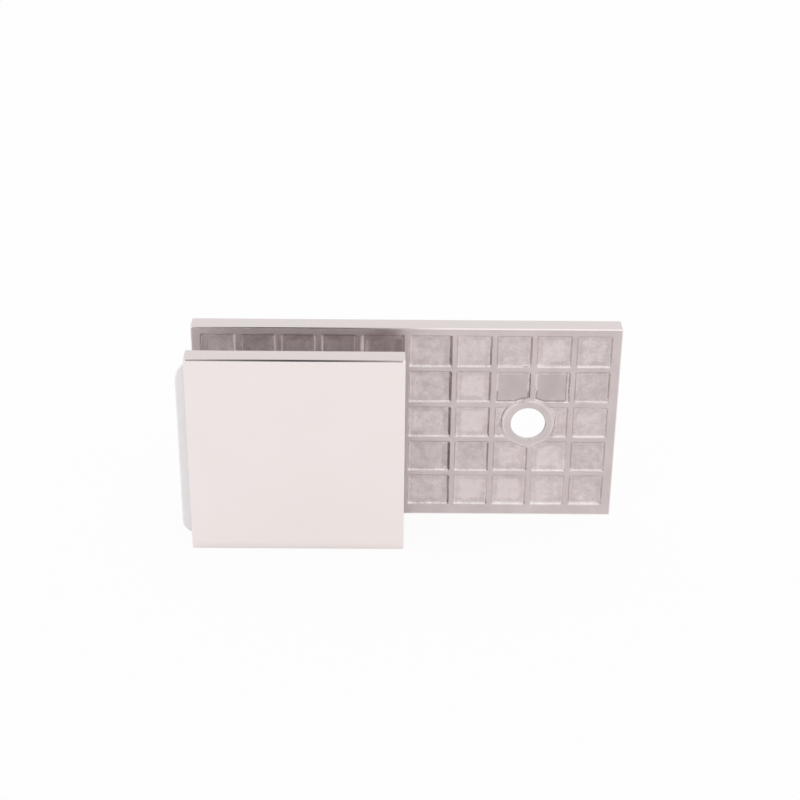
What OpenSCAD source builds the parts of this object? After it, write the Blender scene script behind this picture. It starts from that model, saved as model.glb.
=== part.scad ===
// In-line clamp for frameless shower glass: one long back plate with a cast grid on its
// glass side, and one square front plate drawn towards it by a countersunk screw. X runs
// along the back plate, Y from the front plate towards the back plate and Z up. The origin
// is at the middle of the back plate's underside, halfway through its thickness.

/* [Back plate] */
// Length along X
back_length = 100; // [92:1:120]
// Height along Z
back_height = 50; // [46:1:60]
// Thickness along Y
back_thickness = 6; // [5.6:0.1:8]

/* [Front plate] */
// Width along X, from the left end of the back plate
front_width = 49.6; // [47:0.1:50]
// Height along Z
front_height = 49.6; // [46:0.1:56]
// Thickness along Y
front_thickness = 6; // [5:0.1:8]
// Distance between the two plates' glass sides as photographed
jaw_gap = 10.2; // [9.6:0.1:12]

/* [Edges of the plates] */
// Radius on the far long edges and on the far right edge
round_radius = 1.6; // [0.6:0.1:2.2]
// Radius on the far left edge, which was left almost sharp
sharp_radius = 0.4; // [0.2:0.1:0.8]
// Radius on the edges of the near face
eased_radius = 0.4; // [0.2:0.1:0.8]

/* [Cast grid] */
// Depth of a recess
recess_depth = 1; // [0.6:0.1:1.4]
// How far a recess wall leans in from its mouth to its floor
recess_draft = 0.35; // [0.1:0.05:0.6]
// Width of a recess
recess_width = 7.8; // [7:0.1:8]
// Rib between two recesses
rib_width = 1.5; // [1:0.1:1.8]
// Border at the left and right ends
end_border = 2.4; // [1.6:0.1:3]
// Border along the top edge
top_border = 2; // [1.6:0.1:3]
// Border along the bottom edge
bottom_border = 3; // [2:0.1:4]
// Rows of recesses
recess_rows = 5; // [4:1:6]
// Recesses between the middle rib and each end
recess_columns = 5; // [3:1:5]

/* [Screw holes] */
// Distance from each end to the screw's axis
hole_inset = 21; // [19:0.5:24]
// Height of the screw's axis
hole_height = 25.2; // [23:0.1:27]
// Diameter of the straight part of the hole
hole_diameter = 8.2; // [8.1:0.05:8.4]
// Length of the straight part of the hole
hole_land = 0.6; // [0.4:0.1:1]
// Diameter of the mouth that the screw head sinks into
mouth_diameter = 16.2; // [16:0.1:17]
// Flat ring round the hole on the grid side
ring_diameter = 12.7; // [11.6:0.1:14]

/* [Boss of the front plate] */
// Diameter of the boss
boss_diameter = 14; // [12:0.1:15]
// How far the boss stands out of the plate
boss_length = 7; // [6:0.1:7.4]
// Width of the flat ring round the foot of the boss
boss_ring = 1; // [0.6:0.1:1.6]
// Bevel round the end of the boss
boss_bevel = 0.5; // [0.2:0.1:1]
// Metal left between the tapped hole and the near face
boss_floor = 2.4; // [2.2:0.1:3]
// Depth of the drill point under the tapped hole
drill_point = 1.2; // [0.6:0.1:1.4]

/* [Screw] */
// Outside diameter of the thread
screw_diameter = 8; // [7.6:0.1:8]
// Length from the flat of the head to the tip
screw_length = 16; // [14:0.5:16]
// Diameter of the countersunk head
head_diameter = 15.6; // [14.6:0.1:15.8]
// Straight rim round the head
head_rim = 0.6; // [0.3:0.1:0.9]
// Bevel at the tip
tip_bevel = 0.8; // [0.4:0.1:1.2]
// Width of the hexagon socket across its flats
socket_width = 5; // [4:0.5:6]
// Depth of the hexagon socket
socket_depth = 3; // [2:0.1:3.6]
// Gap between the thread and the tapped hole, on the radius
thread_clearance = 0.05; // [0.02:0.01:0.1]
// Gap between the head's cone and its seat
seat_clearance = 0.05; // [0.02:0.01:0.1]

/* [Gasket] */
// Width and height of the pad
gasket_size = 46.4; // [44:0.1:46.8]
// Thickness of the pad
gasket_thickness = 1.2; // [1:0.1:1.8]
// Radius of the pad's corners
gasket_corner = 4.5; // [3:0.1:6]
// How far the pad hangs below the screw's axis
gasket_drop = 1.6; // [0.8:0.1:1.6]
// How far the pad lies to the left of the screw's axis
gasket_shift = 0.7; // [0:0.1:1]
// Gap between the pad and what it lies against
gasket_clearance = 0.1; // [0.05:0.01:0.2]

/* [Hidden] */
$fn = 96;
overshoot = 0.5;
hexagon_sides = 6;
hexagon_cosine = cos(180 / hexagon_sides);
cone_sine = sqrt(2) / 2;

// Planes across Y, from the front plate's near face to the grid side of the back plate
grid_face = -back_thickness / 2;
front_back_face = grid_face - jaw_gap;
front_near_face = front_back_face - front_thickness;

// Left ends and screw axes along X
left_end = -back_length / 2;
screw_x = left_end + hole_inset;

// Recess pitch: the recess beside the middle rib takes up what is left of the half length
recess_pitch = recess_width + rib_width;
half_field = back_length / 2 - end_border - rib_width / 2;
wide_recess = half_field - (recess_columns - 1) * recess_pitch;
back_field = back_height - top_border - bottom_border;
back_recess_height = (back_field + rib_width) / recess_rows - rib_width;
front_side_border = (front_width + rib_width - recess_columns * recess_pitch) / 2;
front_field = front_height - 2 * front_side_border;
front_recess_height = (front_field + rib_width) / recess_rows - rib_width;

// Screw: its cone starts where it meets the seat less the clearance
hole_radius = hole_diameter / 2;
mouth_radius = mouth_diameter / 2;
shank_radius = screw_diameter / 2;
head_radius = head_diameter / 2;
land_end = grid_face + hole_land;
cone_start = land_end + shank_radius - hole_radius + seat_clearance / cone_sine;
head_top = cone_start + head_radius - shank_radius + head_rim;
screw_tip = head_top - screw_length;

// Boss and gasket
boss_radius = boss_diameter / 2;
boss_end = front_back_face + boss_length;
tapped_radius = shank_radius + thread_clearance;
tapped_bottom = front_near_face + boss_floor;
gasket_x = screw_x - gasket_shift;
gasket_z = hole_height - gasket_drop;
gasket_hole_radius = boss_radius + norm([gasket_drop, gasket_shift]) + gasket_clearance / 2;
gasket_near_face = front_back_face + gasket_clearance;

// Stands a shape drawn along +Z at the origin on a screw's axis, pointing along +Y
module along_y(x, y) {
    translate([x, y, hole_height])
        rotate([-90, 0, 0])
            children();
}

// What is cut off the corner of a flat outline to leave an arc of radius r
module corner_waste(r) {
    difference() {
        translate([-overshoot, -overshoot])
            square(r + overshoot);
        translate([r, r])
            circle(r);
    }
}

// Rectangle with its corners rounded one by one: near left, near right, far right, far left
module eased_rectangle(width, depth, radii) {
    difference() {
        square([width, depth]);
        corner_waste(radii[0]);
        translate([width, 0])
            mirror([1, 0])
                corner_waste(radii[1]);
        translate([width, depth])
            rotate(180)
                corner_waste(radii[2]);
        translate([0, depth])
            mirror([0, 1])
                corner_waste(radii[3]);
    }
}

// Plate standing on its lower edge, with its left end at x and its near face at y
module plate_blank(x, y, width, height, thickness) {
    translate([x, y, 0])
        intersection() {
            linear_extrude(height)
                eased_rectangle(width, thickness,
                    [eased_radius, eased_radius, round_radius, sharp_radius]);
            rotate([90, 0, 90])
                linear_extrude(width)
                    eased_rectangle(thickness, height,
                        [eased_radius, round_radius, round_radius, eased_radius]);
        }
}

// Outline of a recess cut across its mouth, which lies on y = 0; the floor is above it
module recess_section(width) {
    lean = recess_draft / recess_depth;
    polygon([
        [-lean * overshoot, -overshoot],
        [width + lean * overshoot, -overshoot],
        [width - recess_draft, recess_depth],
        [recess_draft, recess_depth]
    ]);
}

// Recess with four leaning walls, sunk towards +Y from a mouth in the plane y = 0
module recess(width, height) {
    intersection() {
        translate([0, 0, -overshoot])
            linear_extrude(height + 2 * overshoot)
                recess_section(width);
        translate([width + overshoot, 0, 0])
            rotate([0, -90, 0])
                linear_extrude(width + 2 * overshoot)
                    recess_section(height);
    }
}

// One column of recesses, from its lower left corner upwards
module recess_column(width, height) {
    for (row = [0 : recess_rows - 1])
        translate([0, 0, row * (height + rib_width)])
            recess(width, height);
}

// Flat ring round a hole or boss, level with the ribs, its wall leaning like theirs
module cast_ring(radius) {
    lean = recess_draft / recess_depth;
    foot = recess_depth + overshoot;
    cylinder(h = foot, r1 = radius, r2 = radius + lean * foot);
}

// Tool that cuts a countersunk screw hole, starting on the grid side
module countersunk_hole() {
    cone_length = mouth_radius - hole_radius;
    rotate_extrude()
        polygon([
            [0, -overshoot],
            [hole_radius, -overshoot],
            [hole_radius, hole_land],
            [mouth_radius, hole_land + cone_length],
            [mouth_radius, back_thickness + overshoot],
            [0, back_thickness + overshoot]
        ]);
}

module back_plate() {
    color("silver")
        difference() {
            union() {
                difference() {
                    plate_blank(left_end, grid_face, back_length, back_height, back_thickness);
                    back_grid();
                }
                for (side = [-1, 1])
                    along_y(side * screw_x, grid_face)
                        cast_ring(ring_diameter / 2);
            }
            for (side = [-1, 1])
                along_y(side * screw_x, grid_face)
                    countersunk_hole();
        }
}

// Two fields of recesses, mirrored about the middle rib
module back_grid() {
    for (side = [0, 1])
        mirror([side, 0, 0])
            translate([left_end + end_border, grid_face, bottom_border])
                for (column = [0 : recess_columns - 1])
                    translate([column * recess_pitch, 0, 0])
                        recess_column(column == recess_columns - 1 ? wide_recess : recess_width,
                            back_recess_height);
}

module front_plate() {
    color("gainsboro")
        difference() {
            union() {
                difference() {
                    plate_blank(left_end, front_near_face, front_width, front_height,
                        front_thickness);
                    front_grid();
                }
                along_y(screw_x, front_back_face)
                    mirror([0, 0, 1])
                        cast_ring(boss_radius + boss_ring);
                boss();
            }
            tapped_hole();
        }
}

// One field of recesses on the plate's glass side
module front_grid() {
    translate([left_end + front_side_border, front_back_face, front_side_border])
        mirror([0, 1, 0])
            for (column = [0 : recess_columns - 1])
                translate([column * recess_pitch, 0, 0])
                    recess_column(recess_width, front_recess_height);
}

// Round boss that reaches through the notch in the glass
module boss() {
    foot = recess_depth + overshoot;
    along_y(screw_x, front_back_face)
        rotate_extrude()
            polygon([
                [0, -foot],
                [boss_radius, -foot],
                [boss_radius, boss_length - boss_bevel],
                [boss_radius - boss_bevel, boss_length],
                [0, boss_length]
            ]);
}

// Blind tapped hole with a drill point at its bottom
module tapped_hole() {
    along_y(screw_x, tapped_bottom)
        rotate_extrude()
            polygon([
                [0, -drill_point],
                [tapped_radius, 0],
                [tapped_radius, boss_end - tapped_bottom + overshoot],
                [0, boss_end - tapped_bottom + overshoot]
            ]);
}

// Soft pad between the front plate and the glass, hanging loosely on the boss
module gasket() {
    half = gasket_size / 2;
    color("whitesmoke", 0.7)
        translate([gasket_x, gasket_near_face, gasket_z])
            rotate([-90, 0, 0])
                linear_extrude(gasket_thickness)
                    difference() {
                        translate([-half, -half])
                            eased_rectangle(gasket_size, gasket_size,
                                [gasket_corner, gasket_corner, gasket_corner, gasket_corner]);
                        circle(gasket_hole_radius);
                    }
}

// Countersunk screw from the outer face of the back plate into the boss
module clamp_screw() {
    cone_length = head_radius - shank_radius;
    shank_length = screw_length - head_rim - cone_length;
    color("lightsteelblue")
        along_y(screw_x, screw_tip)
            difference() {
                rotate_extrude()
                    polygon([
                        [0, 0],
                        [shank_radius - tip_bevel, 0],
                        [shank_radius, tip_bevel],
                        [shank_radius, shank_length],
                        [head_radius, shank_length + cone_length],
                        [head_radius, screw_length],
                        [0, screw_length]
                    ]);
                translate([0, 0, screw_length - socket_depth])
                    cylinder(h = socket_depth + overshoot, d = socket_width / hexagon_cosine,
                        $fn = hexagon_sides);
            }
}

back_plate();
front_plate();
gasket();
clamp_screw();
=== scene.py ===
import bpy
import bmesh
import math
from mathutils import Matrix, Vector


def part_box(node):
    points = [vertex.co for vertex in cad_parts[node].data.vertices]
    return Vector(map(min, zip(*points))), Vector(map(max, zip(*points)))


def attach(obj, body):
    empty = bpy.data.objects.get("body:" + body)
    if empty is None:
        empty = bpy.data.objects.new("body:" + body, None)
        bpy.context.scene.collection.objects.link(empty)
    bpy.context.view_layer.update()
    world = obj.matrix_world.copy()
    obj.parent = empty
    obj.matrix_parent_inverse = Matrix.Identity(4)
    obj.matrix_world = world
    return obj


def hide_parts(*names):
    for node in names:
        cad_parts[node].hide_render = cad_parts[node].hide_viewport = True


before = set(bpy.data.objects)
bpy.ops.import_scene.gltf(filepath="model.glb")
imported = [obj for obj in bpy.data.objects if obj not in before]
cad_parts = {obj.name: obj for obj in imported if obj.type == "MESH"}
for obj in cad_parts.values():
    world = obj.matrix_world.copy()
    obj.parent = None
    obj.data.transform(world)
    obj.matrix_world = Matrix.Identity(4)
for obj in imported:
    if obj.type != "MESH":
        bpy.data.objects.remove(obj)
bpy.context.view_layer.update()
mm = 0.001

# Places that every piece is built from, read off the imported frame
backLow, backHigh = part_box("back_plate")
frontLow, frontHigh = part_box("front_plate")
padLow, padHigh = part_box("gasket")
screwLow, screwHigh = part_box("clamp_screw")
screwX = (screwLow.x + screwHigh.x) / 2
screwZ = (screwLow.z + screwHigh.z) / 2


# The camera stands where the photograph was taken from, in front of the clamp and above it

camera = {
    "place": (-4.693 * mm, -358.9 * mm, 217.5 * mm),
    "pitchDown": math.radians(27.614),
    "yaw": math.radians(0.526),
    "roll": math.radians(0.638),
    "focalInPixels": 1704,
    "imageSide": 800,
    "sensor": 36,
    "nearClip": 10 * mm,
}


def placeCamera(setup):
    pitch, yaw, roll = setup["pitchDown"], setup["yaw"], setup["roll"]
    level = Vector((math.sin(yaw), math.cos(yaw), 0))
    ahead = math.cos(pitch) * level - Vector((0, 0, math.sin(pitch)))
    side = Vector((math.cos(yaw), -math.sin(yaw), 0))
    upward = side.cross(ahead)
    across = math.cos(roll) * side + math.sin(roll) * upward
    over = math.cos(roll) * upward - math.sin(roll) * side
    data = bpy.data.cameras.new("camera")
    data.sensor_width = setup["sensor"]
    data.lens = setup["focalInPixels"] / setup["imageSide"] * setup["sensor"]
    data.clip_start = setup["nearClip"]
    lens = bpy.data.objects.new("camera", data)
    turn = Matrix((across, over, -ahead)).transposed().to_4x4()
    lens.matrix_world = Matrix.Translation(setup["place"]) @ turn
    bpy.context.scene.collection.objects.link(lens)
    bpy.context.scene.camera = lens


placeCamera(camera)


# Node trees: a Wire is a socket with Python operators, and a Bench makes every other node

def forward(operation):
    def act(self, *others):
        return self.maths(operation, self, *others)
    return act


def reflected(operation):
    def act(self, other):
        return self.maths(operation, other, self)
    return act


class Wire:
    def __init__(self, tree, socket):
        self.tree, self.socket = tree, socket

    def maths(self, operation, *items):
        node = self.tree.nodes.new("ShaderNodeMath")
        node.operation = operation
        for plug, item in zip(node.inputs, items):
            feed(self.tree, plug, item)
        return Wire(self.tree, node.outputs[0])

    __add__ = forward("ADD")
    __radd__ = reflected("ADD")
    __sub__ = forward("SUBTRACT")
    __rsub__ = reflected("SUBTRACT")
    __mul__ = forward("MULTIPLY")
    __rmul__ = reflected("MULTIPLY")
    __truediv__ = forward("DIVIDE")
    __rtruediv__ = reflected("DIVIDE")
    __pow__ = forward("POWER")
    __mod__ = forward("FLOORED_MODULO")
    __gt__ = forward("GREATER_THAN")
    __lt__ = forward("LESS_THAN")
    __abs__ = forward("ABSOLUTE")
    low = forward("MINIMUM")
    high = forward("MAXIMUM")
    softLow = forward("SMOOTH_MIN")
    floor = forward("FLOOR")
    exp = forward("EXPONENT")
    root = forward("SQRT")
    sine = forward("SINE")
    angleTo = forward("ARCTAN2")

    def clamp(self):
        return self.high(0).low(1)

    def eased(self):
        return self * self * (3 - self * 2)

    # 1 where this is a half, and 0 where it is 0 or 1
    def halfway(self):
        return self * (1 - self) * 4


def feed(tree, plug, item):
    if isinstance(item, Wire):
        tree.links.new(item.socket, plug)
    else:
        plug.default_value = item


class Bench:
    def __init__(self, tree):
        self.tree = tree

    def node(self, kind, settings=None, out=0, **values):
        node = self.tree.nodes.new(kind)
        for name, value in (settings or {}).items():
            setattr(node, name, value)
        for name, value in values.items():
            plug = next(p for p in node.inputs if p.enabled and p.name.replace(" ", "") == name)
            feed(self.tree, plug, value)
        return Wire(self.tree, node.outputs[out])

    def split(self, vector):
        node = self.node("ShaderNodeSeparateXYZ", Vector=vector).socket.node
        return [Wire(self.tree, plug) for plug in node.outputs]

    def join(self, x, y, z):
        return self.node("ShaderNodeCombineXYZ", X=x, Y=y, Z=z)

    def blend(self, factor, first, second):
        pair = [item if isinstance(item, Wire) else (*item, 1) for item in (first, second)]
        return self.node("ShaderNodeMix", {"data_type": "RGBA"}, out=2, Factor=factor, A=pair[0], B=pair[1])

    def noise(self, place, size, detail=2.0):
        return self.node("ShaderNodeTexNoise", Vector=place, Scale=1 / size, Detail=detail)

    def attribute(self, name):
        return self.node("ShaderNodeAttribute", {"attribute_name": name}, out=2)


# Materials, one for each finish of the real pieces

def newMaterial(name):
    material = bpy.data.materials.new(name)
    material.use_nodes = True
    bench = Bench(material.node_tree)
    shader = material.node_tree.nodes["Principled BSDF"]
    place = bench.node("ShaderNodeTexCoord", out=3)
    return material, bench, shader, place


def finishMaterial(bench, shader, colour, roughness, height, distance):
    bump = bench.node("ShaderNodeBump", Strength=1.0, Distance=distance, Height=height)
    feed(bench.tree, shader.inputs["Base Color"], colour)
    feed(bench.tree, shader.inputs["Roughness"], roughness)
    feed(bench.tree, shader.inputs["Normal"], bump)


castSteelLook = {
    "ribColour": (0.69, 0.612, 0.609),
    "ringColour": (0.74, 0.66, 0.656),
    "floorColour": (0.77, 0.685, 0.681),
    "smoothColour": (0.68, 0.602, 0.599),
    # Painted highlight: the recess walls and the ring's bevel take this lighter colour
    "wallColour": (0.88, 0.82, 0.812),
    "darkColour": (0.42, 0.355, 0.353),
    "ribRoughness": 0.40,
    "floorRoughness": 0.44,
    "smoothRoughness": 0.34,
    "wallRoughness": 0.18,
    "grainRoughness": 0.15,
    "grainSize": 0.55 * mm,
    "mottleSize": 1.9 * mm,
    "blotchSize": 6.0 * mm,
    "grainDarkness": 0.6,
    "mottleDarkness": 0.85,
    "blotchDarkness": 0.5,
    "restDarkness": 0.2,
    "cellDarkness": 0.42,
    "rimDarkness": 0.3,
    "ribGrain": 0.2,  # how much of the recesses' grain the ribs have
    "evenGrain": 0.2,  # and how much of it the smooth recesses have
    "mottleHeight": 0.5,  # of the grain's own height
    "bumpHeight": 0.06 * mm,
}


# The masks that it reads are stored on the plates by the cast field's node tree
def castSteel(look):
    material, bench, shader, place = newMaterial("castSteel")
    masks = ("sunk", "shade", "evenFloor", "groove", "wall", "worn", "rim")
    sunk, shade, even, groove, wall, worn, rim = [bench.attribute(mask) for mask in masks]
    grain = bench.noise(place, look["grainSize"], detail=3.0) - 0.5
    mottles = bench.noise(place, look["mottleSize"], detail=3.0) - 0.5
    blotches = bench.noise(place, look["blotchSize"]) - 0.5
    coarse = look["ribGrain"] + sunk * (1 - look["ribGrain"])
    coarse = coarse * (1 - even * (1 - look["evenGrain"]))
    plain = bench.blend(worn, look["ribColour"], look["ringColour"])
    plain = bench.blend(sunk, plain, look["floorColour"])
    plain = bench.blend(even, plain, look["smoothColour"])
    # Painted highlight: the walls take the lighter wall colour, and only the rest gets the rest darkness
    plain = bench.blend(wall, plain, look["wallColour"])
    darkness = (grain * look["grainDarkness"] + mottles * look["mottleDarkness"]) * coarse
    darkness = darkness + blotches * look["blotchDarkness"] + (1 - wall) * look["restDarkness"]
    # groove adds painted shade: a dark line at the foot of a wall in the two smooth recesses
    darkness = darkness + (shade - 0.5) * sunk * look["cellDarkness"] + groove
    darkness = darkness + rim * (1 - shade) * look["rimDarkness"]
    colour = bench.blend(darkness.clamp(), plain, look["darkColour"])
    rough = look["ribRoughness"] + sunk * (look["floorRoughness"] - look["ribRoughness"])
    rough = rough + even * (look["smoothRoughness"] - look["floorRoughness"])
    rough = rough + wall * (look["wallRoughness"] - rough) + grain * look["grainRoughness"]
    height = (grain + mottles * look["mottleHeight"]) * coarse
    shader.inputs["Metallic"].default_value = 1.0
    finishMaterial(bench, shader, colour, rough, height, look["bumpHeight"])
    return material


polishedSteelLook = {
    "colour": (0.91, 0.836, 0.822),
    "warmColour": (0.89, 0.816, 0.80),
    "roughness": 0.09,
    "cloudSize": 14 * mm,
    "cloudRoughness": 0.04,
    "buffSize": 0.5 * mm,
    "buffStretch": 0.04,  # draws the buffing marks out along X
    "buffRoughness": 0.03,
    "bumpHeight": 0.001 * mm,
}


def polishedSteel(look):
    material, bench, shader, place = newMaterial("polishedSteel")
    clouds = bench.noise(place, look["cloudSize"])
    along = bench.node("ShaderNodeMapping", Vector=place, Scale=(look["buffStretch"], 1.0, 1.0))
    buffing = bench.noise(along, look["buffSize"])
    colour = bench.blend(clouds, look["colour"], look["warmColour"])
    roughness = look["roughness"] + (clouds - 0.5) * look["cloudRoughness"]
    roughness = roughness + (buffing - 0.5) * look["buffRoughness"]
    shader.inputs["Metallic"].default_value = 1.0
    finishMaterial(bench, shader, colour, roughness, buffing, look["bumpHeight"])
    return material


turnedSteelLook = {
    "colour": (0.72, 0.69, 0.675),
    "grooveColour": (0.58, 0.55, 0.54),
    "roughness": 0.24,
    "grooveWidth": 0.16 * mm,
    "grooveDarkness": 0.4,
    "smudgeSize": 2 * mm,
    "smudgeDarkness": 0.4,
    "smudgeRoughness": 0.2,
    "bumpHeight": 0.006 * mm,
}


# Both screws' axes lie equally far from the middle, so the grooves run round the nearer one
def turnedSteel(look):
    material, bench, shader, place = newMaterial("turnedSteel")
    x, y, z = bench.split(place)
    fromAxis = ((abs(x) + screwX) ** 2 + (z - screwZ) ** 2).root()
    grooves = ((fromAxis + y) * (2 * math.pi / look["grooveWidth"])).sine() * 0.5 + 0.5
    smudges = bench.noise(place, look["smudgeSize"], detail=3.0)
    darkness = grooves * look["grooveDarkness"] + smudges * look["smudgeDarkness"]
    colour = bench.blend(darkness, look["colour"], look["grooveColour"])
    roughness = look["roughness"] + (smudges - 0.5) * look["smudgeRoughness"]
    shader.inputs["Metallic"].default_value = 1.0
    finishMaterial(bench, shader, colour, roughness, grooves, look["bumpHeight"])
    return material


softVinylLook = {
    "colour": (0.995, 0.98, 0.99),
    "cloudyColour": (0.98, 0.965, 0.975),
    "roughness": 0.16,
    "transmission": 0.04,
    "ior": 1.45,
    "cloudSize": 6 * mm,
    "skinSize": 1 * mm,
    "skinRoughness": 0.15,
    "bumpHeight": 0.02 * mm,
}


def softVinyl(look):
    material, bench, shader, place = newMaterial("softVinyl")
    clouds = bench.noise(place, look["cloudSize"], detail=3.0)
    skin = bench.noise(place, look["skinSize"])
    colour = bench.blend(clouds, look["colour"], look["cloudyColour"])
    roughness = look["roughness"] + (skin - 0.5) * look["skinRoughness"]
    shader.inputs["Transmission Weight"].default_value = look["transmission"]
    shader.inputs["IOR"].default_value = look["ior"]
    finishMaterial(bench, shader, colour, roughness, skin, look["bumpHeight"])
    return material


cast = castSteel(castSteelLook)
polished = polishedSteel(polishedSteelLook)
turned = turnedSteel(turnedSteelLook)
vinyl = softVinyl(softVinylLook)
print("materials made")


# Mesh helpers

def newObject(name, verts, faces, material):
    mesh = bpy.data.meshes.new(name)
    mesh.from_pydata(verts, [], faces)
    mesh.materials.append(material)
    thing = bpy.data.objects.new(name, mesh)
    bpy.context.scene.collection.objects.link(thing)
    return thing


# Takes the evaluated mesh for the object's own, and the modifiers off
def bake(thing):
    evaluated = thing.evaluated_get(bpy.context.evaluated_depsgraph_get())
    result = bpy.data.meshes.new_from_object(evaluated)
    thing.modifiers.clear()
    thing.data = result


# A tree with a geometry input and a named input for each size
def startTree(name, sizes):
    tree = bpy.data.node_groups.new(name, "GeometryNodeTree")
    tree.interface.new_socket("Geometry", in_out="INPUT", socket_type="NodeSocketGeometry")
    for label, value in sizes.items():
        socket = tree.interface.new_socket(label, in_out="INPUT", socket_type="NodeSocketFloat")
        socket.default_value = value
    tree.interface.new_socket("Geometry", in_out="OUTPUT", socket_type="NodeSocketGeometry")
    entry = tree.nodes.new("NodeGroupInput")
    get = {plug.name: Wire(tree, plug) for plug in entry.outputs if plug.name}
    return tree, Bench(tree), get


def endTree(bench, geometry, material, **selection):
    real = bench.node("GeometryNodeRealizeInstances", Geometry=geometry)
    dressed = bench.node("GeometryNodeSetMaterial", Geometry=real, Material=material, **selection)
    leave = bench.tree.nodes.new("NodeGroupOutput")
    feed(bench.tree, leave.inputs[0], dressed)


def growNodes(thing, tree, inputs):
    modifier = thing.modifiers.new("shape", "NODES")
    modifier.node_group = tree
    for item in tree.interface.items_tree:
        if item.item_type == "SOCKET" and item.name in inputs:
            modifier[item.identifier] = float(inputs[item.name])
    bake(thing)


def carve(thing, tool, operation="DIFFERENCE"):
    modifier = thing.modifiers.new("carve", "BOOLEAN")
    modifier.operation = operation
    modifier.solver = "EXACT"
    modifier.material_mode = "TRANSFER"
    modifier.object = tool
    bake(thing)
    bpy.data.objects.remove(tool)


def smooth(thing, sharpAngle=math.radians(32)):
    mesh = thing.data
    mesh.shade_smooth()
    mesh.set_sharp_from_angle(angle=sharpAngle)
    mesh.validate()
    return thing


# Turns a list of (radius, y) points round an axis along Y; the list runs from one pole to the other
def lathe(name, profile, axisX, axisZ, material, segments=96):
    verts, faces = [], []
    rings = []
    for radius, y in profile:
        if radius == 0:
            rings.append([len(verts)] * segments)
            verts.append((axisX, y, axisZ))
            continue
        rings.append(list(range(len(verts), len(verts) + segments)))
        for k in range(segments):
            angle = 2 * math.pi * k / segments
            verts.append((axisX + radius * math.cos(angle), y, axisZ + radius * math.sin(angle)))
    for first, second in zip(rings, rings[1:]):
        for k in range(segments):
            n = (k + 1) % segments
            corners = [first[k], second[k], second[n], first[n]]
            faces.append(list(dict.fromkeys(corners)))
    thing = newObject(name, verts, faces, material)
    faceOutward(thing)
    return thing


def faceOutward(thing):
    work = bmesh.new()
    work.from_mesh(thing.data)
    bmesh.ops.recalc_face_normals(work, faces=work.faces)
    work.to_mesh(thing.data)
    work.free()


def countTriangles(thing):
    thing.data.calc_loop_triangles()
    return len(thing.data.loop_triangles)


def arc(steps):
    return [math.pi / 2 * k / steps for k in range(steps + 1)]


# Lines across a plate, close together at the listed spots (place, reach, step) and wide elsewhere
def gradedLines(low, high, spots, wide, growth=0.4):
    lines = [low]
    while lines[-1] < high:
        here = lines[-1]
        steps = [fine + growth * max(0, abs(here - place) - reach) for place, reach, fine in spots]
        lines.append(here + min(steps + [wide]))
    stretch = (high - low) / (lines[-1] - low)
    return [low + (line - low) * stretch for line in lines]


# Plates: a block with its own rounding on each edge, and a fine lattice on its glass side

plateEdges = {
    "far": {"left": 0.15 * mm, "right": 1.6 * mm, "bottom": 1.6 * mm, "top": 1.6 * mm},
    "farPower": 2,  # 1 is a straight chamfer and 2 a round
    "farDepth": 1,  # how deep a far edge is, for each mm that it draws in
    "nearPower": 1.25,
    "nearDepth": 0.6,
    "corner": 0.25 * mm,  # where two edges meet
    "steps": 5,  # rings of points down each edge
    "supportLoop": 0.12 * mm,  # a last ring, which keeps the plain face's shading flat
}

backEdges = dict(plateEdges, near={
    "left": 0.2 * mm,
    "right": 0.2 * mm,
    "bottom": 0.3 * mm,
    "top": 0.25 * mm,
})

frontEdges = dict(plateEdges, near={
    "left": 0.3 * mm,
    "right": 0.3 * mm,
    "bottom": 0.45 * mm,
    "top": 0.42 * mm,
})


# How far an edge of this width draws in at a distance from its face
def drawIn(width, distance, depth, power):
    reach = min(1, max(0, 1 - distance / (width * depth)))
    return width - width * (1 - reach ** power) ** (1 / power)


def plateOutline(low, high, y, edges):
    near, far = y - low.y, high.y - y
    inset = {}
    for side in edges["near"]:
        inset[side] = drawIn(edges["near"][side], near, edges["nearDepth"], edges["nearPower"])
        inset[side] += drawIn(edges["far"][side], far, edges["farDepth"], edges["farPower"])
    return (low.x + inset["left"], high.x - inset["right"],
            low.z + inset["bottom"], high.z - inset["top"])


# Depths at which the rounded edges need a ring of points
def edgeLevels(low, high, edges):
    bends = [1 - math.cos(angle) for angle in arc(edges["steps"])]
    nearDepth, farDepth = edges["nearDepth"], edges["farDepth"]
    levels = [low.y + width * nearDepth * bend for width in edges["near"].values() for bend in bends]
    levels += [high.y - width * farDepth * bend for width in edges["far"].values() for bend in bends]
    return sorted({round(level / mm, 2) * mm for level in levels})


# Bends a point near a corner of the outline onto an arc
def roundCorner(x, z, outline, radius):
    left, right, bottom, top = outline
    cornerX = min(max(x, left + radius), right - radius)
    cornerZ = min(max(z, bottom + radius), top - radius)
    dx, dz = x - cornerX, z - cornerZ
    if dx == 0 or dz == 0:
        return x, z
    shrink = max(abs(dx), abs(dz)) / math.hypot(dx, dz)
    return cornerX + dx * shrink, cornerZ + dz * shrink


# The (column, row) of each point on a lattice's border, in order round it
def latticeBorder(columns, rows):
    border = [(i, 0) for i in range(columns)]
    border += [(columns - 1, j) for j in range(1, rows)]
    border += [(i, rows - 1) for i in range(columns - 2, -1, -1)]
    border += [(0, j) for j in range(rows - 2, 0, -1)]
    return border


def shrunk(outline, distance):
    left, right, bottom, top = outline
    return left + distance, right - distance, bottom + distance, top - distance


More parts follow.
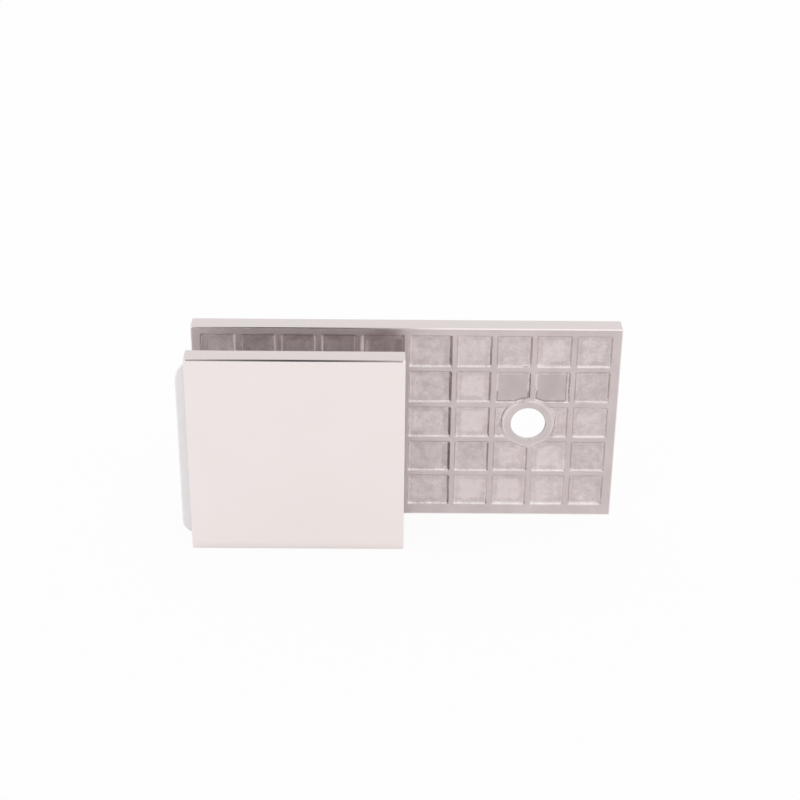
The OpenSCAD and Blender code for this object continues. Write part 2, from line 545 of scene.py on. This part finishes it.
# The lattice comes first. Rings of points then run from its border over the edges to the plain face
def plateBlank(name, low, high, latticeAtNear, spotsX, spotsZ, wide, edges):
    levels = edgeLevels(low, high, edges)
    if not latticeAtNear:
        levels.reverse()
    base = plateOutline(low, high, levels[0], edges)
    left, right, bottom, top = base
    xs = gradedLines(left, right, spotsX, wide)
    zs = gradedLines(bottom, top, spotsZ, wide)
    columns, rows = len(xs), len(zs)
    verts = []
    for z in zs:
        for x in xs:
            px, pz = roundCorner(x, z, base, edges["corner"])
            verts.append((px, levels[0], pz))
    faces = []
    for j in range(rows - 1):
        for i in range(columns - 1):
            k = j * columns + i
            faces.append((k, k + 1, k + columns + 1, k + columns))
    border = latticeBorder(columns, rows)
    shares = [((xs[i] - left) / (right - left), (zs[j] - bottom) / (top - bottom)) for i, j in border]
    ring = [j * columns + i for i, j in border]
    castZone = [1.0] * len(verts)
    relief = [1.0] * len(verts)
    for k in ring:
        relief[k] = 0.0
    stations = [(level, plateOutline(low, high, level, edges)) for level in levels[1:]]
    stations.append((levels[-1], shrunk(stations[-1][1], edges["supportLoop"])))
    for level, outline in stations:
        left, right, bottom, top = outline
        nextRing = list(range(len(verts), len(verts) + len(ring)))
        for shareX, shareZ in shares:
            x = left + shareX * (right - left)
            z = bottom + shareZ * (top - bottom)
            px, pz = roundCorner(x, z, outline, edges["corner"])
            verts.append((px, level, pz))
        for k in range(len(ring)):
            n = (k + 1) % len(ring)
            faces.append((ring[k], nextRing[k], nextRing[n], ring[n]))
        ring = nextRing
    faces.append(ring)
    thing = newObject(name, verts, faces, polished)
    thing.data.materials.append(cast)
    plainPoints = [0.0] * (len(verts) - len(relief))
    for label, values in (("relief", relief + plainPoints), ("castZone", castZone + plainPoints)):
        thing.data.attributes.new(label, "FLOAT", "POINT").data.foreach_set("value", values)
    faceOutward(thing)
    return thing


# The cast field: recesses in rows and columns about a plate's middle, and a flat ring round the screw

castField = {
    "Middle": 0.0,
    "Inner Start": 0.75 * mm,
    "Inner Width": 9.65 * mm,
    "Recess Width": 7.8 * mm,
    "Rib": 1.5 * mm,
    "Field End": 47.6 * mm,
    "Field Bottom": 3.0 * mm,
    "Field Top": 48.0 * mm,
    "Recess Height": 7.8 * mm,
    "Corner": 0.35 * mm,
    "Lip": 0.24 * mm,
    "Wall": 0.27 * mm,
    "Wall Curve": 1.5,
    "Wall Depth": 0.6 * mm,
    "Step Depth": 0.14 * mm,
    "Step Start": 0.8 * mm,
    "Step Width": 0.8 * mm,
    "Step Corner": 1.2 * mm,
    "Crown Depth": 0.26 * mm,
    "Crown Reach": 3.9 * mm,
    "Ring X": 29 * mm,
    "Ring Z": 25.2 * mm,
    "Ring Flat": 5.6 * mm,
    "Ring Bevel": 0.6 * mm,
    "Ring Dip": 0.18 * mm,
    "Ring Radius": 6.5 * mm,
    "Ring Blend": 0.4 * mm,
    # How much of the walls' painted highlight the ring's bevel takes
    "Ring Shine": 0.6,
    "Even Row": 3.0,
    "Even Reach": 8.6 * mm,
    "Even Rise": 0.3,
    "Even Start": 0.45 * mm,
    "Even Width": 0.35 * mm,
    # Sizes of the painted shade line along the foot of the two smooth recesses' bottom walls
    "Groove Shade Width": 0.3 * mm,
    "Groove Shade Place": 0.8,  # in groove widths from the wall
    "Groove Shade Rise": 2.5 * mm,
    "Wobble": 0.09 * mm,
    "Wobble Size": 3.0 * mm,
    "Grain": 0.06 * mm,
    "Grain Size": 2.0 * mm,
    "Rib Grain": 0.2,
    "Even Grain": 0.3,
    "Border Wear": 0.5,
    "Cell Spread": 0.2,
    "Seed": 3.0,
    "Direction": 1.0,
}


def castFieldTree(defaults):
    tree, bench, get = startTree("castField", defaults)
    x, y, z = bench.split(bench.node("GeometryNodeInputPosition"))

    # Distance to the nearest recess wall, positive inside a recess
    u = abs(x - get["Middle"])
    pitch = get["Recess Width"] + get["Rib"]
    past = u - get["Inner Start"] - get["Inner Width"]
    inPitch = past % pitch
    halfWidth = get["Recess Width"] * 0.5
    outer = halfWidth - abs(inPitch - get["Rib"] - halfWidth).low(inPitch + halfWidth)
    inner = (u - get["Inner Start"]).low(past * -1)
    isOuter = past > 0
    acrossX = (outer * isOuter + inner * (1 - isOuter)).low(get["Field End"] - u)
    rowPitch = get["Recess Height"] + get["Rib"]
    v = z - get["Field Bottom"]
    inRow = v % rowPitch
    halfHeight = get["Recess Height"] * 0.5
    nearestRow = abs(inRow - halfHeight).low(rowPitch + halfHeight - inRow)
    acrossZ = (halfHeight - nearestRow).low(v).low(get["Field Top"] - z)
    a = get["Corner"] - acrossX
    b = get["Corner"] - acrossZ
    bend = (a.high(0) ** 2 + b.high(0) ** 2).root()
    recess = get["Corner"] - bend - a.high(b).low(0)
    fromHole = ((abs(x) - get["Ring X"]) ** 2 + (z - get["Ring Z"]) ** 2).root()
    ring = fromHole - get["Ring Radius"]

    # Cast edges wander, and no two recesses have the same depth or shade
    shifted = bench.join(x + get["Seed"], y + get["Seed"], z + get["Seed"])
    wander = bench.noise(shifted, get["Wobble Size"])
    grain = bench.noise(shifted, get["Grain Size"], detail=3.0)
    otherSide = 20  # more columns than a plate has, so no two share a number
    column = (past / pitch).floor() + (x > get["Middle"]) * otherSide
    row = (v / rowPitch).floor()
    luck = bench.node("ShaderNodeTexWhiteNoise", Vector=bench.join(column, row, get["Seed"]))
    shade = bench.node("ShaderNodeTexWhiteNoise", Vector=bench.join(column, row, get["Seed"] + 1))

    # The two recesses above the ring are shallower and smooth
    overRing = abs(abs(x) - get["Ring X"]) < get["Even Reach"]
    even = overRing * (1 - abs(row - get["Even Row"]).low(1))

    # A recess falls steeply at its wall, then by a soft step, then gently to its middle
    distance = recess.softLow(ring, get["Ring Blend"]) + (wander - 0.5) * 2 * get["Wobble"]
    fall = 1 - (((distance + get["Lip"]).high(0) / get["Wall"]) ** get["Wall Curve"] * -1).exp()
    inside = acrossX.softLow(acrossZ, get["Step Corner"]).softLow(ring, get["Step Corner"])
    step = ((inside - get["Step Start"]) / get["Step Width"]).clamp().eased()
    crown = 1 - (1 - (inside / get["Crown Reach"]).clamp()) ** 2
    depth = get["Wall Depth"] * fall + get["Step Depth"] * step + get["Crown Depth"] * crown * fall
    depth = depth * (1 - even * get["Even Rise"] + (luck - 0.5) * get["Cell Spread"])

    # Painted shade of a crease at the foot of those two: only the colour darkens in a line along the wall's
    # foot, and the shape keeps no groove
    belowRise = 1 - ((inRow - get["Groove Shade Rise"]) / get["Groove Shade Width"]).clamp()
    groove = (1 - abs(distance / get["Groove Shade Width"] - get["Groove Shade Place"])).clamp()
    groove = groove * even * belowRise

    # The flat ring ends in a soft bevel, which runs over the ribs too
    bevel = ((fromHole - get["Ring Flat"]) / get["Ring Bevel"]).clamp().eased()
    comeBack = ((fromHole - get["Ring Radius"]) / get["Ring Bevel"]).clamp().eased()
    relief = bench.node("GeometryNodeInputNamedAttribute", {"data_type": "FLOAT"}, Name="relief")
    castZone = bench.node("GeometryNodeInputNamedAttribute", {"data_type": "FLOAT"}, Name="castZone")
    coarse = (get["Rib Grain"] + (1 - get["Rib Grain"]) * fall) * (1 - (1 - get["Even Grain"]) * even)
    raised = depth + grain * get["Grain"] * coarse + get["Ring Dip"] * bevel * (1 - comeBack)
    offset = bench.join(0, raised * relief * get["Direction"], 0)
    made = bench.node("GeometryNodeSetPosition", Geometry=get["Geometry"], Offset=offset)

    # Masks for the cast steel
    nearRing = 1 - ((fromHole - get["Ring Radius"]) / get["Lip"]).clamp()
    onBorder = (u > get["Field End"]).high(v < 0).high(z > get["Field Top"])
    evenInside = ((inside - get["Even Start"]) / get["Even Width"]).clamp()
    stored = {
        "sunk": fall * relief,
        "shade": shade,
        "evenFloor": even * fall * evenInside,
        # groove: painted shade in a line at the foot of the two smooth recesses' bottom walls
        "groove": groove,
        # wall: where the painted highlight goes, on the recess walls and the ring's bevel
        "wall": fall.halfway().high(bevel.halfway() * get["Ring Shine"]) * relief,
        "worn": nearRing.high(onBorder * get["Border Wear"]) * (1 - fall),
        "rim": fall * (1 - step),
    }
    for label, value in stored.items():
        made = bench.node("GeometryNodeStoreNamedAttribute", {"data_type": "FLOAT", "domain": "POINT"},
                          Geometry=made, Name=label, Value=value)
    endTree(bench, made, cast, Selection=castZone > 0.5)
    return tree


castTree = castFieldTree(castField)


# Where the recesses' walls lie, out from the middle and up from below
def wallSpots(field):
    walls = [field["Inner Start"], field["Inner Start"] + field["Inner Width"]]
    pitch = field["Recess Width"] + field["Rib"]
    while walls[-1] + pitch < field["Field End"] + pitch / 2:
        walls += [walls[-1] + field["Rib"], walls[-1] + pitch]
    heights = []
    bottom = field["Field Bottom"]
    while bottom < field["Field Top"]:
        heights += [bottom, bottom + field["Recess Height"]]
        bottom += field["Recess Height"] + field["Rib"]
    return walls, heights


plateMesh = {
    "wallStep": 0.13 * mm,
    "wallReach": 0.35 * mm,
    "wallInset": 0.15 * mm,
    "ringStep": 0.3 * mm,
    "ringReach": 7 * mm,
    "endStep": 0.15 * mm,
    "endReach": 0.5 * mm,
    "wide": 0.6 * mm,
}


def castPlate(name, low, high, latticeAtNear, field, finish, edges):
    walls, heights = wallSpots(field)
    lean = (finish["wallInset"], -finish["wallInset"])  # into each recess
    wallSpot = (finish["wallReach"], finish["wallStep"])
    ringSpot = (finish["ringReach"], finish["ringStep"])
    endSpot = (finish["endReach"], finish["endStep"])
    spotsX, spotsZ = [], []
    for k, wall in enumerate(walls):
        for side in (-1, 1):
            spotsX.append((field["Middle"] + side * (wall + lean[k % 2]), *wallSpot))
    for k, height in enumerate(heights):
        spotsZ.append((height + lean[k % 2], *wallSpot))
    spotsX += [(side * field["Ring X"], *ringSpot) for side in (-1, 1)]
    spotsX += [(end, *endSpot) for end in (low.x, high.x)]
    spotsZ.append((field["Ring Z"], *ringSpot))
    spotsZ += [(end, *endSpot) for end in (low.z, high.z)]
    blank = plateBlank(name, low, high, latticeAtNear, spotsX, spotsZ, finish["wide"], edges)
    growNodes(blank, castTree, field)
    return blank


screwHole = {
    "radius": 4.1 * mm,
    "land": 0.6 * mm,
    "rim": 0.12 * mm,
    "mouth": 8.1 * mm,
    "mouthRim": 0.15 * mm,
    "past": 0.5 * mm,
    "segments": 128,
}


def holeTool(sizes, axisX):
    near, far = backLow.y, backHigh.y
    radius, mouth, rim, mouthRim = sizes["radius"], sizes["mouth"], sizes["rim"], sizes["mouthRim"]
    landEnd = near + sizes["land"]
    profile = [
        (0, near - sizes["past"]),
        (radius + rim + sizes["past"], near - sizes["past"]),
        (radius + rim, near),
        (radius, near + rim),
        (radius, landEnd),
        (mouth, landEnd + mouth - radius),
        (mouth, far - mouthRim),
        (mouth + mouthRim + sizes["past"], far + sizes["past"]),
        (0, far + sizes["past"]),
    ]
    return lathe("holeTool", profile, axisX, screwZ, turned, sizes["segments"])


def makeBackPlate():
    plate = castPlate("backPlate", backLow, backHigh, True, castField, plateMesh, backEdges)
    for side in (1, -1):
        carve(plate, holeTool(screwHole, side * screwX))
    return smooth(plate)


backPlate = makeBackPlate()
print("back plate made,", countTriangles(backPlate), "triangles")


frontField = dict(castField)
frontCells = 5  # recesses across and down
frontWidth = frontHigh.x - frontLow.x
frontPitch = castField["Recess Width"] + castField["Rib"]
frontBorder = (frontWidth + castField["Rib"] - frontCells * frontPitch) / 2
frontField.update({
    "Middle": (frontLow.x + frontHigh.x) / 2,
    "Inner Start": -castField["Recess Width"] / 2,
    "Inner Width": castField["Recess Width"],
    "Field End": frontWidth / 2 - frontBorder,
    "Field Bottom": frontLow.z + frontBorder,
    "Field Top": frontHigh.z - frontBorder,
    "Ring Flat": 7.5 * mm,
    "Ring Radius": 8 * mm,
    "Seed": 11.0,
    "Direction": -1.0,
})
frontThickness = backHigh.y - backLow.y  # both plates are cast equally thick

boss = {
    "radius": 7 * mm,
    "length": 7 * mm,
    "foot": 0.5 * mm,
    "bevel": 0.5 * mm,
    "fillet": 0.4 * mm,
    "filletSteps": 4,
    "tapped": 4.05 * mm,
    "mouthBevel": 0.4 * mm,
    "floor": 2.4 * mm,
    "drillPoint": 1.2 * mm,
    "past": 0.5 * mm,
}


def bossBody(sizes, face):
    radius, bevel, fillet = sizes["radius"], sizes["bevel"], sizes["fillet"]
    tip = face + sizes["length"]
    profile = [(0, face - sizes["foot"]), (radius + fillet, face - sizes["foot"]), (radius + fillet, face)]
    for angle in arc(sizes["filletSteps"])[1:]:
        profile.append((radius + fillet * (1 - math.sin(angle)), face + fillet * (1 - math.cos(angle))))
    profile += [(radius, tip - bevel), (radius - bevel, tip), (0, tip)]
    return lathe("boss", profile, screwX, screwZ, cast)


def tapTool(sizes, face, nearFace):
    bottom = nearFace + sizes["floor"]
    tip = face + sizes["length"]
    radius, bevel, past = sizes["tapped"], sizes["mouthBevel"], sizes["past"]
    profile = [
        (0, bottom - sizes["drillPoint"]),
        (radius, bottom),
        (radius, tip - bevel),
        (radius + bevel + past, tip + past),
        (0, tip + past),
    ]
    return lathe("tapTool", profile, screwX, screwZ, turned)


def makeFrontPlate():
    face = frontLow.y + frontThickness
    corner = Vector((frontHigh.x, face, frontHigh.z))
    plate = castPlate("frontPlate", frontLow, corner, False, frontField, plateMesh, frontEdges)
    carve(plate, bossBody(boss, face), "UNION")
    carve(plate, tapTool(boss, face, frontLow.y))
    return smooth(plate)


frontPlate = makeFrontPlate()
print("front plate made,", countTriangles(frontPlate), "triangles")


# Soft pad: a closed ring of sections between a square outline and a round hole

pad = {
    "topCorner": 6.0 * mm,
    "bottomCorner": 3.4 * mm,
    "hole": 8.8 * mm,
    "edge": 0.42 * mm,
    "edgeSteps": 4,
    "pointsPerCorner": 14,
    "pointsPerSide": 18,
    "stepsToHole": 4,
    "sharpAngle": math.radians(50),
}


def padOutline(sizes, half, inset):
    points = []
    cornerPoints, sidePoints = sizes["pointsPerCorner"], sizes["pointsPerSide"]
    top, bottom = sizes["topCorner"] - inset, sizes["bottomCorner"] - inset
    edge = half - inset
    corners = ((bottom, top), (top, top), (top, bottom), (bottom, bottom))
    for quarter, (before, corner) in enumerate(corners):
        turn = quarter * math.pi / 2
        cosine, sine = round(math.cos(turn)), round(math.sin(turn))
        local = []
        for k in range(sidePoints):
            local.append((edge, before - edge + (2 * edge - before - corner) * k / sidePoints))
        for k in range(cornerPoints):
            angle = math.pi / 2 * k / cornerPoints
            centre = edge - corner
            local.append((centre + corner * math.cos(angle), centre + corner * math.sin(angle)))
        points += [(x * cosine - z * sine, x * sine + z * cosine) for x, z in local]
    return points


# Loops at one depth that lead from a loop to the next in even steps
def loopsBetween(first, second, y, steps):
    loops = []
    for k in range(1, steps):
        share = k / steps
        loops.append([(p[0] + (q[0] - p[0]) * share, y, p[2] + (q[2] - p[2]) * share)
                      for p, q in zip(first, second)])
    return loops


def makePad(sizes):
    centreX, centreZ = (padLow.x + padHigh.x) / 2, (padLow.z + padHigh.z) / 2
    half = (padHigh.x - padLow.x) / 2
    near, far, edge = padLow.y, padHigh.y, sizes["edge"]
    turns = arc(sizes["edgeSteps"])
    rounded = [(edge * (1 - math.sin(a)), near + edge * (1 - math.cos(a))) for a in turns]
    rounded += [(edge * (1 - math.sin(a)), far - edge * (1 - math.cos(a))) for a in reversed(turns)]
    angles = [math.atan2(z, x) for x, z in padOutline(sizes, half, 0)]
    rings, holeRings = [], []
    for inset, y in rounded:
        rings.append([(x, y, z) for x, z in padOutline(sizes, half, inset)])
        radius = sizes["hole"] + inset
        holeRings.append([(radius * math.cos(a), y, radius * math.sin(a)) for a in angles])
    loops = rings + loopsBetween(rings[-1], holeRings[-1], far, sizes["stepsToHole"])
    loops += holeRings[::-1] + loopsBetween(holeRings[0], rings[0], near, sizes["stepsToHole"])
    count = len(angles)
    verts = [(centreX + x, y, centreZ + z) for loop in loops for x, y, z in loop]
    faces = []
    for row in range(len(loops)):
        following = (row + 1) % len(loops)
        for k in range(count):
            n = (k + 1) % count
            faces.append((row * count + k, following * count + k, following * count + n, row * count + n))
    thing = newObject("softPad", verts, faces, vinyl)
    faceOutward(thing)
    return smooth(thing, sizes["sharpAngle"])


softPad = makePad(pad)
print("soft pad made,", countTriangles(softPad), "triangles")


# Screw: a turned blank whose shank a node tree cuts with its thread, then the hexagon socket

screw = {
    "crest": 4.0 * mm,
    "tipBevel": 0.8 * mm,
    "headRim": 0.6 * mm,
    "rimEase": 0.15 * mm,
    "plainShank": 1.2 * mm,
    "ringStep": 0.1 * mm,
    "socketAcross": 5 * mm,
    "socketDepth": 3 * mm,
    "socketBevel": 0.35 * mm,
    "socketPoint": 0.7 * mm,
    "socketOverlap": 0.02 * mm,
    "leadIn": 0.54 * mm,  # how far ahead of the tip the thread begins
    "segments": 96,
}

threadSizes = {
    "Pitch": 1.25 * mm,
    "Thread Depth": 0.62 * mm,
    "Thread Start": 0.0,  # both ends are set from the screw's own length
    "Thread End": 0.0,
    "Run Out": 0.9 * mm,
    "Crest Flat": 0.14,
    "Least Radius": 0.01 * mm,
}


def threadTree(defaults):
    tree, bench, get = startTree("screwThread", defaults)
    x, y, z = bench.split(bench.node("GeometryNodeInputPosition"))
    across, rise = x - screwX, z - screwZ
    radius = (across ** 2 + rise ** 2).root().high(get["Least Radius"])
    turn = rise.angleTo(across) / (2 * math.pi)
    along = (y / get["Pitch"] + turn) % 1.0
    groove = (1 - abs(along - 0.5) * 2 - get["Crest Flat"]).high(0) / (1 - get["Crest Flat"] * 2)
    started = ((y - get["Thread Start"]) / get["Run Out"]).clamp()
    ended = ((get["Thread End"] - y) / get["Run Out"]).clamp()
    depth = groove.low(1) * get["Thread Depth"] * started * ended
    shrink = (depth / radius) * -1
    offset = bench.join(across * shrink, 0, rise * shrink)
    moved = bench.node("GeometryNodeSetPosition", Geometry=get["Geometry"], Offset=offset)
    endTree(bench, moved, turned)
    return tree


def hexagonTool(reach, low, high):
    corners = range(6)
    angles = [math.pi / 3 * k for k in corners]
    ring = [(screwX + reach * math.cos(a), screwZ + reach * math.sin(a)) for a in angles]
    verts = [(x, y, z) for y in (low, high) for x, z in ring]
    faces = [list(corners), [6 + k for k in corners]]
    faces += [(k, (k + 1) % 6, 6 + (k + 1) % 6, 6 + k) for k in corners]
    tool = newObject("hexagonTool", verts, faces, turned)
    faceOutward(tool)
    return tool


def makeScrew(sizes):
    tip, top = screwLow.y, screwHigh.y
    crest, head = sizes["crest"], (screwHigh.x - screwLow.x) / 2
    coneStart = top - sizes["headRim"] - (head - crest)
    ease = sizes["rimEase"]
    profile = [(0, tip), (crest - sizes["tipBevel"], tip)]
    y = tip + sizes["tipBevel"]
    while y < coneStart:
        profile.append((crest, y))
        y += sizes["ringStep"]
    rimLow = top - sizes["headRim"]
    profile += [
        (crest, coneStart),
        (head - ease, rimLow - ease),
        (head, rimLow + ease / 2),
        (head, top - ease),
        (head - ease, top),
        (0, top),
    ]
    thing = lathe("clampScrew", profile, screwX, screwZ, turned, sizes["segments"])
    growNodes(thing, threadTree(threadSizes), dict(threadSizes, **{
        "Thread Start": tip - sizes["leadIn"],
        "Thread End": coneStart - sizes["plainShank"],
    }))
    bevel = sizes["socketBevel"]
    reach = sizes["socketAcross"] / 2 / math.cos(math.pi / 6)
    bottom = top - sizes["socketDepth"]
    carve(thing, hexagonTool(reach, bottom, top + bevel))
    mouth = [(0, top - bevel), (reach - bevel, top - bevel), (reach + bevel, top + bevel), (0, top + bevel)]
    carve(thing, lathe("mouthTool", mouth, screwX, screwZ, turned))
    above = bottom + sizes["socketOverlap"]
    point = [(0, bottom - sizes["socketPoint"]), (sizes["socketAcross"] / 2, above), (0, above)]
    carve(thing, lathe("pointTool", point, screwX, screwZ, turned))
    return smooth(thing)


clampScrew = makeScrew(screw)
print("screw made,", countTriangles(clampScrew), "triangles")


# Each piece stands for its node and rides on its body

for piece, node, slot in (
    (backPlate, "back_plate", "cast_plate"),
    (frontPlate, "front_plate", "polished_plate"),
    (softPad, "gasket", "clear_pad"),
    (clampScrew, "clamp_screw", "screw_steel"),
):
    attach(piece, node)
    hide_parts(node)
print("pieces ride on their bodies")


# Studio: a white floor, a soft lamp above, a pale room that is brighter in front, and a dark card
# in front of the clamp, which only its reflections show

studio = {
    "floorHalf": 3.0,
    "floorColour": (0.90, 0.90, 0.90),
    "paperRoughness": 0.9,
    "shownWhite": 0.93,
    "mirroredWhite": 0.72,
    "shadeFade": 6 * mm,  # the width over which the white ends round the floor between the plates
    "roomLight": 0.8,
    "frontLight": 0.35,
    "lampPower": 1.6,
    "lampSize": 1.6,
    "lampPlace": (0.05, 0.05, 0.9),
    "cardLow": (-0.19, -1.0, 0.1),
    "cardHigh": (0.02, -0.35, 2.0),
    "cardDarkest": -0.08,
    "cardFade": 0.1,
    "cardFadePower": 1.5,
    "cardColour": (0.02, 0.02, 0.02),
    "cardPaler": (0.6, 0.6, 0.6),
}


# 1 inside a span, 0 outside it, and a slope across each end
def within(value, start, end, fade):
    return ((value - start).low(end - value) / fade + 0.5).clamp()


# White to the camera and in mirrors, apart from the floor that both plates shade
def floorMaterial(look):
    material, bench, shader, place = newMaterial("floorPaper")
    tree = material.node_tree
    shader.inputs["Base Color"].default_value = (*look["floorColour"], 1)
    shader.inputs["Roughness"].default_value = look["paperRoughness"]
    shader.inputs["Specular IOR Level"].default_value = 0.0
    rays = bench.node("ShaderNodeLightPath").socket.node.outputs
    seen = Wire(tree, rays["Is Camera Ray"]).high(Wire(tree, rays["Is Transmission Ray"]))
    x, y, z = bench.split(place)
    shadedX = within(x, frontLow.x, frontHigh.x, look["shadeFade"])
    shadedY = within(y, frontLow.y, backHigh.y, look["shadeFade"])
    mirrored = Wire(tree, rays["Is Glossy Ray"]) * look["mirroredWhite"] * (1 - shadedX * shadedY)
    white = bench.node("ShaderNodeEmission", Color=(1, 1, 1, 1), Strength=1.0)
    mixed = bench.node("ShaderNodeMixShader", Fac=mirrored.high(seen * look["shownWhite"]))
    mixNode = mixed.socket.node
    tree.links.new(shader.outputs[0], mixNode.inputs[1])
    tree.links.new(white.socket, mixNode.inputs[2])
    tree.links.new(mixed.socket, tree.nodes["Material Output"].inputs["Surface"])
    return material


def makeFloor(look):
    half = look["floorHalf"]
    corners = [(-half, -half, 0), (half, -half, 0), (half, half, 0), (-half, half, 0)]
    floor = newObject("floor", corners, [(0, 1, 2, 3)], floorMaterial(look))


def makeCard(look):
    material, bench, shader, place = newMaterial("darkCard")
    x, y, z = bench.split(place)
    fade = (abs(x - look["cardDarkest"]) / look["cardFade"]).clamp() ** look["cardFadePower"]
    feed(bench.tree, shader.inputs["Base Color"], bench.blend(fade, look["cardColour"], look["cardPaler"]))
    shader.inputs["Roughness"].default_value = look["paperRoughness"]
    (left, front, bottom), (right, back, top) = look["cardLow"], look["cardHigh"]
    corners = [(left, front, bottom), (right, front, bottom), (right, back, top), (left, back, top)]
    card = newObject("darkCard", corners, [(0, 1, 2, 3)], material)
    card.visible_camera = False


def makeLamp(look):
    lampData = bpy.data.lights.new("softLight", "AREA")
    lampData.shape = "SQUARE"
    lampData.size = look["lampSize"]
    lampData.energy = look["lampPower"]
    lamp = bpy.data.objects.new("softLight", lampData)
    lamp.location = look["lampPlace"]
    bpy.context.scene.collection.objects.link(lamp)


def makeRoom(look):
    world = bpy.data.worlds.new("room")
    world.use_nodes = True
    bench = Bench(world.node_tree)
    x, y, z = bench.split(bench.node("ShaderNodeTexCoord", out=0))
    walls = world.node_tree.nodes["Background"]
    walls.inputs["Color"].default_value = (1, 1, 1, 1)
    feed(bench.tree, walls.inputs["Strength"], look["roomLight"] + (y * -1).high(0) * look["frontLight"])
    bpy.context.scene.world = world


for make in (makeFloor, makeCard, makeLamp, makeRoom):
    make(studio)
bpy.context.scene.view_settings.view_transform = "Standard"
print("studio made")
